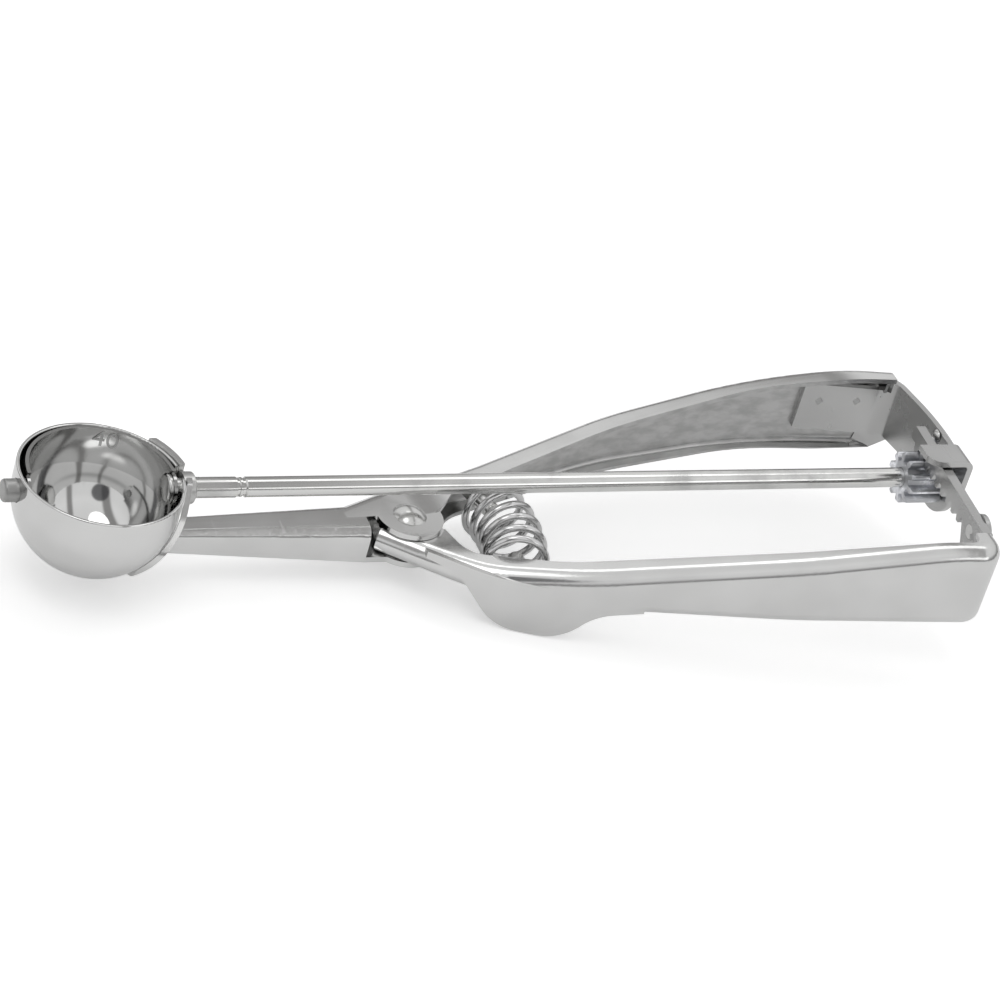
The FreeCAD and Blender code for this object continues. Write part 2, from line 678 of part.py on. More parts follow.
def make_rack():
    """Toothed plate: teeth on its lower edge, widening into a tab that the lever carries."""
    mesh_y = rack_mesh_y()
    tip_z = pitch_radius - 0.62 * module
    root_z = pitch_radius + 1.25 * module
    lean = math.tan(math.radians(pressure_angle))
    pitch_half = (tooth_pitch - backlash) / 4
    tip_half = pitch_half - (pitch_radius - tip_z) * lean
    root_half = pitch_half + (root_z - pitch_radius) * lean
    near = mesh_y - tooth_pitch * (rack_teeth - 2)
    points = [(mesh_y + tooth_pitch + rack_lead, rack_top), (mesh_y + tooth_pitch + rack_lead, root_z)]
    for k in range(rack_teeth):
        y = mesh_y + tooth_pitch * (1 - k)
        points += [(y + root_half, root_z), (y + tip_half, tip_z)]
        points += [(y - tip_half, tip_z), (y - root_half, root_z)]
    slope_y = near - root_half - 0.4
    points += [(slope_y, root_z), (slope_y - (root_z - rack_tab_bottom) * 0.55, rack_tab_bottom),
               (slope_y - rack_tab_length, rack_tab_bottom), (slope_y - rack_tab_length, rack_top)]
    loop = [V(rack_distance - rack_thickness / 2, y, z) for y, z in points]
    plate = Part.Face(Part.makePolygon(loop + [loop[0]])).extrude(V(rack_thickness, 0, 0))
    far_end = mesh_y + tooth_pitch + rack_lead
    corner = [edge for edge in plate.Edges
              if edge.BoundBox.YMin > far_end - 0.01 and edge.BoundBox.XLength > 1]
    plate = plate.makeFillet(0.8, corner)
    hole = Part.makeCylinder(rack_rivet_radius + fixed_gap, 10,
                             V(rack_distance - 5, rack_rivet_y(), rack_rivet_height), X_AXIS)
    return rack_placed(plate.cut(hole))


def rack_rivet_y():
    near = rack_mesh_y() - tooth_pitch * (rack_teeth - 2)
    return near - rack_tab_length * 0.6


def make_mount_tab():
    """Ear on the edge of the lever's rear wall that the rack is riveted to."""
    front = rack_distance + rack_thickness / 2
    back = front + mount_tab_sheet
    middle = V(front, rack_rivet_y(), rack_rivet_height)
    radius = rack_rivet_head_radius + mount_tab_margin
    ear = Part.makeCylinder(radius, mount_tab_sheet, middle, X_AXIS)
    plate = box(front, back, middle.y - radius, middle.y + radius, mount_tab_bottom, middle.z)
    foot = box(front, back, middle.y - radius * 3, middle.y, mount_tab_bottom, mount_tab_foot_top)
    hole = Part.makeCylinder(rack_rivet_radius + fixed_gap, 10, middle - V(5, 0, 0), X_AXIS)
    tab = rack_placed(ear.fuse(plate).fuse(foot).cut(hole))
    wall_side = box(slope_end, lever_rear + 10, lever_end_edge - 30, lever_end_edge, -30, 30)
    return tab.cut(wall_side).removeSplitter()


def make_rack_rivet():
    front = rack_distance - rack_thickness / 2
    back = rack_distance + rack_thickness / 2 + mount_tab_sheet
    middle = V(front, rack_rivet_y(), rack_rivet_height)
    shank = Part.makeCylinder(rack_rivet_radius, back - front, middle, X_AXIS)
    height = rack_rivet_head_height
    ball = (rack_rivet_head_radius ** 2 + height ** 2) / (2 * height)
    dome = Part.makeSphere(ball, V(back + height - ball, middle.y, middle.z))
    head_room = Part.makeCylinder(rack_rivet_head_radius, height + 1, V(back, middle.y, middle.z), X_AXIS)
    dome = dome.common(head_room)
    return rack_placed(shank.fuse(dome).removeSplitter())


def make_bracket():
    """Strip from inside the fixed handle round behind the pinion, with a bearing and an ear over the rack."""
    inset = sheet + bracket_sheet / 2 + seat_gap
    wall = shifted(flat(fixed_wall), -inset)
    start, end = wall[-2], wall[-1]
    direction = (end - start).normalize()
    plate_start = start + direction * ((bracket_plate_front - start.x) / direction.x)
    middle_x = bracket_wall_front + bracket_sheet / 2
    radius = middle_x - pivot_x
    turn_y = end.y - 0.9
    turn = V(pivot_x + math.sqrt(radius ** 2 - turn_y ** 2), turn_y, 0)
    path = [plate_start, turn, V(middle_x + 0.35, 8.0, 0), V(middle_x, ear_far, 0)]
    strip = ribbon(path, [0, 4.0, 60.0, 0], bracket_sheet).extrude(V(0, 0, 30))
    strip.translate(V(0, 0, -15))
    behind = handle_rear + seat_gap
    plate_room = box(slope_start, behind, 0, 40, -bracket_plate_half, bracket_plate_half)
    strip_room = box(behind - 2, behind + 20, -20, 40, bracket_strip_bottom, bracket_plate_half)
    high_room = box(behind, behind + 20, -20, 40, bracket_strip_bottom, bracket_strip_top)
    bracket = strip.common(plate_room.fuse(strip_room).fuse(high_room))
    bracket = bracket.fuse(rod_along_x(bracket_wall_front, bracket_wall_front + bracket_sheet,
                                       bracket_lobe_radius))
    ear_z = rack_top + ear_gap + bracket_sheet / 2
    ear_path = side([(ear_front, ear_z), (middle_x, ear_z), (middle_x, 0.0)], ear_near)
    ear = ribbon(ear_path, [0, ear_bend - bracket_sheet / 2, 0], bracket_sheet)
    ear = ear.extrude(V(0, ear_far - ear_near, 0))
    corner = [edge for edge in ear.Edges if edge.BoundBox.XMax < ear_front + 0.01
              and edge.BoundBox.ZLength > bracket_sheet * 0.9 and edge.BoundBox.YMax < ear_near + 0.01]
    ear = ear.makeFillet(ear_corner, corner)
    bracket = bracket.fuse(ear)
    step = box(bracket_wall_front, bracket_wall_front + bracket_sheet, ear_far - 0.5, 3.0, 0,
               bracket_strip_top)
    bracket = bracket.fuse(step)
    holes = rod_along_x(ear_front, bracket_wall_front + 10, journal_radius + running_gap)
    holes = holes.fuse(rod_along_x(ear_front, bracket_wall_front + 10, stop_shank_radius + fixed_gap,
                                   stop_rivet_y, stop_rivet_z))
    return bracket.cut(holes).removeSplitter()


def make_stop_rivet():
    """Dome rivet on the bracket's wall beside the rack."""
    front = bracket_wall_front
    shank = rod_along_x(front, front + bracket_sheet, stop_shank_radius, stop_rivet_y, stop_rivet_z)
    height = stop_rivet_proud
    ball = (stop_rivet_radius ** 2 + height ** 2) / (2 * height)
    dome = Part.makeSphere(ball, V(front - height + ball, stop_rivet_y, stop_rivet_z))
    room = rod_along_x(front - height - 1, front, stop_rivet_radius, stop_rivet_y, stop_rivet_z)
    return shank.fuse(dome.common(room)).removeSplitter()


def biarc(start, start_way, end, end_way):
    """Two tangent arcs between two points with given directions."""
    span = end - start
    both = start_way + end_way
    spread = 2 * (1 - start_way.dot(end_way))
    along = span.dot(both)
    if spread < 1e-9:
        reach = span.dot(span) / (2 * along)
    else:
        reach = (-along + math.sqrt(along ** 2 + spread * span.dot(span))) / spread
    first = start + start_way * reach
    second = end - end_way * reach
    joint = (first + second) * 0.5
    arcs = []
    for a, corner, b in ((start, first, joint), (joint, second, end)):
        chord = (a + b) * 0.5
        out = corner - chord
        half = (b - a).Length / 2
        angle = math.acos(min(1.0, half / (corner - a).Length))
        arcs.append(Part.Arc(a, chord + out.normalize() * (half * math.tan(angle / 2)), b))
    return arcs


def spring_point(turn):
    """Point of the wire's middle line, counted in turns from the fixed handle."""
    share = turn / spring_turns
    bow = math.radians(spring_far_angle + (spring_near_angle - spring_far_angle) * share)
    coil = 2 * math.pi * turn
    reach = spring_bow_radius + spring_coil_radius * math.cos(coil)
    return V(spring_centre_x + reach * math.cos(bow), spring_centre_y + reach * math.sin(bow),
             spring_centre_z + spring_coil_radius * math.sin(coil))


def make_spring():
    """Return spring: a fan-shaped coil of round wire between the two handles."""
    steps = int(round(spring_turns * 4))
    small = 1e-4
    arcs = []
    for k in range(steps):
        a, b = k / 4, (k + 1) / 4
        way_a = (spring_point(a + small) - spring_point(a - small)).normalize()
        way_b = (spring_point(b + small) - spring_point(b - small)).normalize()
        arcs += biarc(spring_point(a), way_a, spring_point(b), way_b)
    path = Part.Wire([arc.toShape() for arc in arcs])
    tightest = min(edge.Curve.Radius for edge in path.Edges)
    way = (spring_point(small) - spring_point(-small)).normalize()
    section = Part.Wire(Part.Circle(spring_point(0), way, spring_wire / 2).toShape())
    pipe = Part.BRepOffsetAPI.MakePipeShell(path)
    pipe.add(section)
    pipe.build()
    pipe.makeSolid()
    spring = pipe.shape()
    expected = math.pi * (spring_wire / 2) ** 2 * path.Length
    print("spring: tightest radius %.2f, volume over section times length %.4f, least gap to itself %.2f"
          % (tightest, spring.Volume / expected, spring_gap()))
    return spring


def spring_gap():
    """Least gap between neighbouring turns, measured on points of the middle line."""
    per_turn = 48
    points = [spring_point(k / per_turn) for k in range(int(spring_turns * per_turn) + 1)]
    least = 1e9
    for i, a in enumerate(points):
        for b in points[i + per_turn // 2:]:
            least = min(least, (a - b).Length)
    return least - spring_wire


def make_post(angle, side_sign, handle):
    """Round post on a handle's web that reaches into the end of the spring and holds it."""
    bow = math.radians(angle)
    middle = V(spring_centre_x + spring_bow_radius * math.cos(bow),
               spring_centre_y + spring_bow_radius * math.sin(bow), post_height)
    outward = V(-math.sin(bow), math.cos(bow), 0) * side_sign
    post = rod_along_x(-post_reach, 30, post_radius)
    post = fillet_where(post, post_rounding, lambda edge: edge.BoundBox.XMax < -post_reach + 0.01)
    post.rotate(V(0, 0, 0), Z_AXIS, math.degrees(math.atan2(outward.y, outward.x)))
    post.translate(middle)
    tip_point = Part.Vertex(middle)
    return min(post.cut(handle).Solids, key=lambda solid: tip_point.distToShape(solid)[0])


def make_spacer():
    """Tube on the pivot rivet that keeps the lever's two flanges apart."""
    top, bottom = lever_levels()
    low = bottom + sheet
    high = top - sheet
    tube = rod_along_z(low, high, rivet_head_radius)
    return tube.cut(rod_along_z(low - 1, high + 1, rivet_radius + running_gap))


def make_all():
    frame_upper = make_frame_upper()
    lever = make_lever()
    return {
        "bowl": make_bowl(),
        "bowl_saddle": make_saddle(),
        "shaft_bushing": make_bushing(),
        "frame_upper": frame_upper,
        "frame_lower": make_frame_lower(frame_upper),
        "pivot_rivet": make_pivot_rivet(),
        "end_bracket": make_bracket(),
        "stop_rivet": make_stop_rivet(),
        "return_spring": make_spring(),
        "spring_post_fixed": make_post(spring_far_angle, 1, frame_upper),
        "spring_post_lever": make_post(spring_near_angle, -1, lever),
        "pivot_spacer": make_spacer(),
        "lever_handle": lever,
        "rack": make_rack(),
        "rack_mount_tab": make_mount_tab(),
        "rack_rivet": make_rack_rivet(),
        "scraper_blade": make_blade(),
        "blade_pin": make_blade_pin(),
        "blade_shaft": make_blade_shaft(),
        "drive_rod": make_rod(),
        "pinion": make_pinion(),
    }


def mesh_box(shapes):
    """Corners of the whole model, measured on its facets."""
    points = []
    for shape in shapes:
        points += shape.tessellate(0.05)[0]
    low = V(min(p.x for p in points), min(p.y for p in points), min(p.z for p in points))
    high = V(max(p.x for p in points), max(p.y for p in points), max(p.z for p in points))
    return low, high


def main():
    os.makedirs("parts", exist_ok=True)
    shapes = make_all()
    low, high = mesh_box(shapes.values())
    move = V(-(low.x + high.x) / 2, -(low.y + high.y) / 2, -low.z)
    for name, shape in shapes.items():
        if len(shape.Solids) != 1 or not shape.isValid():
            print("check", name, len(shape.Solids), shape.isValid())
        solid = shape.Solids[0] if len(shape.Solids) == 1 else shape
        solid.translate(move)
        solid.exportStep("parts/" + name + ".step")
    size = high - low
    print("size %.2f %.2f %.2f" % (size.x, size.y, size.z))
    print("rod axis at %.4f %.4f %.4f" % (move.x, move.y, move.z))
    print("pivot at %.4f %.4f" % (pivot.x + move.x, pivot.y + move.y))
    print("coupling ratio %.4f" % coupling_ratio)


main()
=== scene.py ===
"""Looks of the squeeze-handle ice cream scoop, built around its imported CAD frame.

Metres. +X runs from the bowl to the handle ends, +Y from the moving lever to the fixed handle, +Z is up.
"""

import json
import math

import bmesh
import bpy
from mathutils import Matrix, Vector
from mathutils.bvhtree import BVHTree


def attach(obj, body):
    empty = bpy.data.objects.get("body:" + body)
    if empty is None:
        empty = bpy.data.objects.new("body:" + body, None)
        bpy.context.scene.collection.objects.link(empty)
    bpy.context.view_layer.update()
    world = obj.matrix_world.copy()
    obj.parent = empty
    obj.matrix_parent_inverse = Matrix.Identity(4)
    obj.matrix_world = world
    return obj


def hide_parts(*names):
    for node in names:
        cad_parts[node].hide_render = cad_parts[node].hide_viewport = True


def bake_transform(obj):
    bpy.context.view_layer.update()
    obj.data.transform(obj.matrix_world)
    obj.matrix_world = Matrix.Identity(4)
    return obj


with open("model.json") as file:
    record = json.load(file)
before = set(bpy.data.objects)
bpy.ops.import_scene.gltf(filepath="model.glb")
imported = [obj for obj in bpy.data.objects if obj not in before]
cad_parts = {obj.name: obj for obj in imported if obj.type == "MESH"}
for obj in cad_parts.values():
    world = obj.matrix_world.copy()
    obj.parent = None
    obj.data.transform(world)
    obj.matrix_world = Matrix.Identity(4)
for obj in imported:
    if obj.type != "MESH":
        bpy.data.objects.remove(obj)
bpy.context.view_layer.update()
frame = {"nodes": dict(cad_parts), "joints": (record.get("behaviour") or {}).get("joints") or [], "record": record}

bl_info = {
    "name": "Ice cream scoop",
    "version": (1, 0, 0),
    "blender": (4, 5, 0),
    "location": "View3D > Sidebar > Scoop",
    "description": "Finishes and studio for a squeeze-handle ice cream scoop",
    "category": "Object",
}

MM = 0.001
# The rod's axis and the lever's pivot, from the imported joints
JOINTS = {joint["name"]: joint for joint in frame["joints"]}
ROD = Vector(JOINTS["blade_turn"]["pos_m"])
PIVOT = Vector(JOINTS["lever_squeeze"]["pos_m"])
RECORD = frame["record"]
BODY_OF = {node: body for body, nodes in RECORD["behaviour"]["bodies"].items() for node in nodes}

# Places in millimetres from the rod's front
SPRING_BOW_CENTRE = Vector((52.5, -2.7, -8.9))
FRONT_WELD = Vector((154.6, 0.0, 1.4))
REAR_WELD = Vector((162.2, 0.0, 2.1))
RACK_MARK = Vector((100.0, -25.2, 5.0))
LOW_CORNER = ((165.4, 22.9, -5.1), (171.0, 19.9, -5.1), (167.9, 21.1, -8.0), (164.8, 23.0, -8.0))
HIGH_CORNER = ((167.3, 23.1, 5.0), (167.3, 20.4, 5.0), (167.3, 20.4, 7.9), (167.3, 22.6, 7.6))


def length(name, description, default):
    return bpy.props.FloatProperty(name=name, description=description, default=default, unit="LENGTH",
                                   precision=5)


def angle(name, description, degrees):
    return bpy.props.FloatProperty(name=name, description=description, default=math.radians(degrees),
                                   subtype="ANGLE")


def colour(name, description, default):
    return bpy.props.FloatVectorProperty(name=name, description=description, default=default, size=3,
                                         subtype="COLOR", min=0.0, max=1.0)


class ScoopSpring(bpy.types.PropertyGroup):
    wire: length("Wire", "Diameter of the spring's wire", 1.4 * MM)
    coil_radius: length("Coil radius", "From the coil's middle to the wire's middle", 5.5 * MM)
    bow_radius: length("Bow radius", "Radius that the coil is bent to", 28.0 * MM)
    turns: bpy.props.FloatProperty(name="Turns", description="Turns of the coil", default=5.5)
    far_angle: angle("Far angle", "Bow angle at the fixed handle", 17.5)
    near_angle: angle("Near angle", "Bow angle at the lever", -22.0)


class ScoopFinish(bpy.types.PropertyGroup):
    steel: colour("Steel", "Polished sheet", (0.68, 0.68, 0.675))
    turned: colour("Turned steel", "Rod, shaft and rivets", (0.68, 0.68, 0.67))
    wire: colour("Spring wire", "Bright drawn wire", (0.62, 0.62, 0.62))
    cast: colour("Cast metal", "Pinion", (0.70, 0.71, 0.74))
    edge: length("Edge rounding", "Rounding of the sheet's cut edges", 0.09 * MM)
    turned_edge: length("Turned edge", "Rounding of the turned pieces' edges", 0.05 * MM)
    tooth_edge: length("Tooth edge", "Rounding of the pinion's teeth", 0.14 * MM)
    number_height: length("Number size", "Size of the portion number's type", 5.0 * MM)
    mark_reach: length("Mark reach", "Half the width of a weld mark", 0.85 * MM)


class ScoopStudio(bpy.types.PropertyGroup):
    floor: colour("Floor", "Colour of the floor", (0.93, 0.93, 0.93))
    azimuth: angle("Azimuth", "Camera's heading from +Y towards +X", 30.701)
    elevation: angle("Elevation", "How far down the camera looks", 33.661)
    roll: angle("Roll", "Camera's turn about its own axis", 17.272)
    lens: bpy.props.FloatProperty(name="Lens", description="Focal length in millimetres", default=156.63)
    place: bpy.props.FloatVectorProperty(name="Place", description="Camera's place from the rod's front",
                                         default=(-0.260477, -0.571579, 0.438765), size=3,
                                         subtype="TRANSLATION")


class Socket:
    """A node output that takes part in Python expressions."""

    def __init__(self, nodes, output):
        self.nodes = nodes
        self.output = output

    def math(self, operation, other=None):
        values = {0: self} if other is None else {0: self, 1: other}
        return self.nodes.add("ShaderNodeMath", {"operation": operation}, values)

    def __add__(self, other):
        return self.math("ADD", other)

    __radd__ = __add__

    def __sub__(self, other):
        return self.math("SUBTRACT", other)

    def __rsub__(self, other):
        return self.nodes.add("ShaderNodeMath", {"operation": "SUBTRACT"}, {0: other, 1: self})

    def __mul__(self, other):
        return self.math("MULTIPLY", other)

    __rmul__ = __mul__

    def clamped(self, low=0.0, high=1.0):
        return self.math("MAXIMUM", low).math("MINIMUM", high)

    def near(self, middle, inside, outside):
        """1 within inside of a middle value, 0 beyond outside."""
        return 1 - (self - middle).math("ABSOLUTE").ramp(inside, outside)

    def ramp(self, low, high):
        """0 below low, 1 above high, smooth between them."""
        return self.nodes.add("ShaderNodeMapRange", {"interpolation_type": "SMOOTHSTEP"},
                              {"Value": self, "From Min": low, "From Max": high})


class Nodes:
    """Adds nodes to one tree."""

    def __init__(self, tree):
        self.tree = tree
        tree.nodes.clear()

    def add(self, kind, settings=None, inputs=None, output=0):
        node = self.tree.nodes.new(kind)
        for key, value in (settings or {}).items():
            if key == "stops":
                ramp = node.color_ramp
                while len(ramp.elements) < len(value):
                    ramp.elements.new(0.5)
                for element, (position, tone) in zip(ramp.elements, value):
                    element.position = position
                    element.color = (*tone, 1.0)
            else:
                setattr(node, key, value)
        for key, value in (inputs or {}).items():
            if isinstance(value, Socket):
                self.tree.links.new(value.output, node.inputs[key])
            else:
                node.inputs[key].default_value = value
        return Socket(self, node.outputs[output]) if len(node.outputs) else node

    def place(self, scale=(1.0, 1.0, 1.0), rotation=(0.0, 0.0, 0.0)):
        where = self.add("ShaderNodeTexCoord", output="Object")
        return self.add("ShaderNodeMapping", {}, {"Vector": where, "Scale": scale, "Rotation": rotation})

    def noise(self, vector, scale=1.0, detail=3.0):
        return self.add("ShaderNodeTexNoise", {}, {"Vector": vector, "Scale": scale, "Detail": detail,
                                                   "Roughness": 0.55})

    def mix(self, factor, first, second):
        return self.add("ShaderNodeMix", {"data_type": "RGBA"}, {"Factor": factor, 6: first, 7: second},
                        output=2)

    def bump(self, height, strength, distance, normal=None):
        links = {"Height": height, "Strength": strength, "Distance": distance}
        if normal is not None:
            links["Normal"] = normal
        return self.add("ShaderNodeBump", {}, links)

    def finish(self, base, roughness, normal, metallic=1.0):
        surface = self.add("ShaderNodeBsdfPrincipled", {}, {
            "Base Color": base, "Roughness": roughness, "Normal": normal, "Metallic": metallic})
        self.add("ShaderNodeOutputMaterial", {}, {"Surface": surface})


def shade(value, factor):
    return tuple(min(1.0, part * factor) for part in value) + (1.0,)


def new_material(name):
    material = bpy.data.materials.new(name)
    material.use_nodes = True
    return material, Nodes(material.node_tree)


def polished_steel(name, tint, polish, lines_along=(40.0, 1600.0, 1600.0), streaks=0.5, painted_shade_from=None):
    """Polished sheet: faint drawing lines, soft smears, and a few fine random scratches.

    The last argument gives the X from which faces that look towards -Y, the inside of the pressing's channel, get
    painted shade: a darker, mottled tone, with more roughness.
    """
    material, nodes = new_material(name)
    lines = nodes.noise(nodes.place(lines_along), detail=4.0)
    cross = nodes.noise(nodes.place((900.0, 60.0, 300.0), rotation=(0.2, 0.4, 0.9)), detail=2.0)
    smears = nodes.noise(nodes.place(), scale=55.0, detail=3.0)
    wide = nodes.noise(nodes.place(), scale=16.0, detail=2.0)
    scratches = cross.ramp(0.66, 0.72) * 0.5
    film = smears.ramp(0.35, 0.75)
    base = nodes.mix(film * 0.5 + wide.ramp(0.3, 0.7) * 0.3, shade(tint, 1.04), shade(tint, 0.88))
    roughness = polish + film * 0.07 + lines.ramp(0.35, 0.75) * 0.06 * streaks + scratches * 0.10
    if painted_shade_from is not None:
        base, roughness = painted_inside_shade(nodes, tint, painted_shade_from, base, roughness)
    waves = nodes.bump(wide, 0.22, 0.6 * MM)
    normal = nodes.bump(lines * streaks + scratches, 0.05, 0.02 * MM, waves)
    nodes.finish(base, roughness.clamped(), normal)
    return material


def painted_inside_shade(nodes, tint, start, base, roughness):
    """Base and roughness with painted shade laid over a pressing's inside: a darker, mottled tone on faces that
    look towards -Y, and more roughness.
    """
    place = nodes.add("ShaderNodeTexCoord", output="Object")
    along = nodes.add("ShaderNodeSeparateXYZ", {}, {0: place})
    facing = nodes.add("ShaderNodeNewGeometry", output="Normal")
    inward = nodes.add("ShaderNodeSeparateXYZ", {}, {0: facing}, output=1) * -1
    # Painted shade mask: faces looking towards -Y from the start X onwards, the inside of the channel
    inside = inward.ramp(0.45, 0.75) * along.ramp(start, start + 6.0 * MM)
    mottle = nodes.noise(nodes.place((250.0, 600.0, 600.0)), detail=4.0)
    # Darker, mottled tone that paints the shade inside the channel
    painted_shade_tone = nodes.mix(mottle.ramp(0.3, 0.7), shade(tint, 0.60), shade(tint, 0.80))
    return nodes.mix(inside, base, painted_shade_tone), roughness + inside * (mottle * 0.14 + 0.10)


def turned_steel(name, tint, polish, pitch=4200.0):
    """Turned bar: tool marks round X, drawing lines and handling scratches along it."""
    material, nodes = new_material(name)
    rings = nodes.noise(nodes.place((pitch, 30.0, 30.0)), detail=2.0)
    along = nodes.noise(nodes.place((25.0, 2400.0, 2400.0)), detail=4.0)
    smears = nodes.noise(nodes.place(), scale=90.0, detail=4.0)
    film = smears.ramp(0.42, 0.72)
    base = nodes.mix(film, shade(tint, 1.05), shade(tint, 0.80))
    roughness = (polish + film * 0.12 + along.ramp(0.5, 0.7) * 0.08).clamped()
    normal = nodes.bump(rings * 0.4 + along * 0.6, 0.08, 0.02 * MM)
    nodes.finish(base, roughness, normal)
    return material


def cast_metal(name, tint):
    """Die-cast and plated: a dull grainy skin that is brighter where it rubs."""
    material, nodes = new_material(name)
    grain = nodes.noise(nodes.place(), scale=2600.0, detail=3.0)
    pits = nodes.noise(nodes.place(), scale=900.0, detail=5.0)
    worn = nodes.noise(nodes.place(), scale=240.0, detail=3.0).ramp(0.45, 0.62)
    base = nodes.mix(worn, shade(tint, 0.80), shade(tint, 1.30))
    roughness = (0.36 - worn * 0.14 + grain * 0.10).clamped()
    normal = nodes.bump(grain * 0.5 + pits, 0.20, 0.04 * MM)
    nodes.finish(base, roughness, normal, metallic=0.95)
    return material


def merged_mesh(name):
    """A CAD node's triangles, joined to a closed mesh whose flat faces are single polygons."""
    source = frame["nodes"][name].data
    form = bmesh.new()
    form.from_mesh(source)
    bmesh.ops.remove_doubles(form, verts=form.verts, dist=2e-6)
    bmesh.ops.dissolve_degenerate(form, dist=1e-7, edges=form.edges)
    bmesh.ops.dissolve_limit(form, angle_limit=math.radians(0.05), verts=form.verts, edges=form.edges)
    form.verts.index_update()
    corners = [vert.co[:] for vert in form.verts]
    faces = [[vert.index for vert in face.verts] for face in form.faces]
    form.free()
    mesh = bpy.data.meshes.new(name + "_finish")
    mesh.from_pydata(corners, [], faces)
    return mesh


def link(piece):
    bpy.context.scene.collection.objects.link(piece)
    return piece


def evaluated(piece):
    """A new mesh of the piece as its modifiers leave it."""
    bpy.context.view_layer.update()
    graph = bpy.context.evaluated_depsgraph_get()
    return bpy.data.meshes.new_from_object(piece.evaluated_get(graph))


def baked(piece):
    """Replaces a curve by its mesh, under the same name."""
    name = piece.name
    mesh = evaluated(piece)
    bpy.data.objects.remove(piece)
    return link(bpy.data.objects.new(name, mesh))


def built(name, form, material, body):
    """A piece that rides on a body, from a bmesh."""
    bmesh.ops.recalc_face_normals(form, faces=form.faces)
    mesh = bpy.data.meshes.new(name)
    form.to_mesh(mesh)
    form.free()
    mesh.materials.append(material)
    piece = link(bpy.data.objects.new(name, mesh))
    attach(piece, body)


def smooth(mesh, degrees):
    for face in mesh.polygons:
        face.use_smooth = True
    mesh.set_sharp_from_angle(angle=math.radians(degrees))


def dressed(node, material, edge, degrees=28.0):
    """A smooth-shaded copy of a CAD node with rounded cut edges, standing for it."""
    piece = link(bpy.data.objects.new(node + "_finish", merged_mesh(node)))
    smooth(piece.data, degrees)
    if edge > 0:
        bevel = piece.modifiers.new("edge", "BEVEL")
        bevel.width = edge
        bevel.segments = 2
        bevel.limit_method = "ANGLE"
        bevel.angle_limit = math.radians(50)
        bevel.harden_normals = True
        bevel.use_clamp_overlap = True
        rounded = evaluated(piece)
        piece.modifiers.clear()
        piece.data = rounded
    piece.data.materials.clear()
    piece.data.materials.append(material)
    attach(piece, BODY_OF[node])
    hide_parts(node)


def tint_of(key):
    return tuple(getattr(bpy.context.scene.scoop_finish, key))


class SCOOP_OT_sheet(bpy.types.Operator):
    """Polished bowl, saddle, frame, handles, bracket, blade and rack"""
    bl_idname = "scoop.sheet"
    bl_label = "Sheet pieces"

    def execute(self, context):
        edge = context.scene.scoop_finish.edge
        tint = tint_of("steel")
        neck_end = PIVOT.x + 6.0 * MM
        mirror = polished_steel("mirror_bowl", tint, 0.04, (500.0, 500.0, 60.0), 0.2)
        handle = polished_steel("polished_handle", tint, 0.15, streaks=0.35)
        # The fixed handle's channel inside gets painted shade from just behind the pivot
        pressing = polished_steel("polished_pressing_painted_shade", tint, 0.15, streaks=0.35, painted_shade_from=neck_end)
        # Bracket, rack, tab and the handle-end corners: a rougher drawn sheet, which is their own finish, with the
        # steel's tone darkened to 0.72 as painted shade for the shade they sit in at the rear
        drawn_sheet_and_shade = polished_steel("drawn_sheet_painted_shade", shade(tint, 0.72)[:3], 0.22, (60.0, 500.0, 500.0), 0.4)
        blade = polished_steel("blade_strip", shade(tint, 0.82)[:3], 0.10, (700.0, 700.0, 80.0), 0.3)
        for node, material in (
            ("bowl", mirror), ("bowl_saddle", handle), ("frame_upper", pressing), ("frame_lower", handle),
            ("lever_handle", handle), ("end_bracket", drawn_sheet_and_shade), ("scraper_blade", blade), ("rack", drawn_sheet_and_shade),
            ("rack_mount_tab", drawn_sheet_and_shade),
        ):
            dressed(node, material, edge)
        # Ends of the fixed handle's flanges, where they close against the bracket's bend
        wall = 0.6
        corner("handle_end_low", LOW_CORNER, (0, 0, -wall), drawn_sheet_and_shade)
        corner("handle_end_high", HIGH_CORNER, (-wall, 0, 0), drawn_sheet_and_shade)
        return {"FINISHED"}


def corner(name, spots, depth, material):
    """Small sheet corner of the frame, from its outline in millimetres from the rod's front."""
    form = bmesh.new()
    front = [form.verts.new(ROD + Vector(spot) * MM) for spot in spots]
    back = [form.verts.new(ROD + (Vector(spot) + Vector(depth)) * MM) for spot in spots]
    form.faces.new(front)
    form.faces.new(back[::-1])
    for k in range(len(spots)):
        following = (k + 1) % len(spots)
        form.faces.new((front[k], back[k], back[following], front[following]))
    built(name, form, material, "frame")


class SCOOP_OT_turned(bpy.types.Operator):
    """Rod, shaft, pins, bushing, rivets, posts and spacer"""
    bl_idname = "scoop.turned"
    bl_label = "Turned pieces"

    def execute(self, context):
        tint = tint_of("turned")
        rod = turned_steel("polished_rod", tint, 0.12)
        rivet = turned_steel("rivet_steel", shade(tint, 0.92)[:3], 0.20, 1500.0)
        pin = turned_steel("pin_steel", shade(tint, 0.62)[:3], 0.28, 900.0)
        for node, material in (
            ("drive_rod", rod), ("blade_shaft", rod), ("shaft_bushing", rivet), ("pivot_rivet", rivet),
            ("stop_rivet", rivet), ("rack_rivet", rivet), ("blade_pin", pin), ("pivot_spacer", rivet),
            ("spring_post_fixed", rivet), ("spring_post_lever", rivet),
        ):
            dressed(node, material, context.scene.scoop_finish.turned_edge)
        return {"FINISHED"}


class SCOOP_OT_pinion(bpy.types.Operator):
    """Cast pinion"""
    bl_idname = "scoop.pinion"
    bl_label = "Pinion"

    def execute(self, context):
        metal = cast_metal("cast_pinion", tint_of("cast"))
        dressed("pinion", metal, context.scene.scoop_finish.tooth_edge, degrees=35.0)
        return {"FINISHED"}


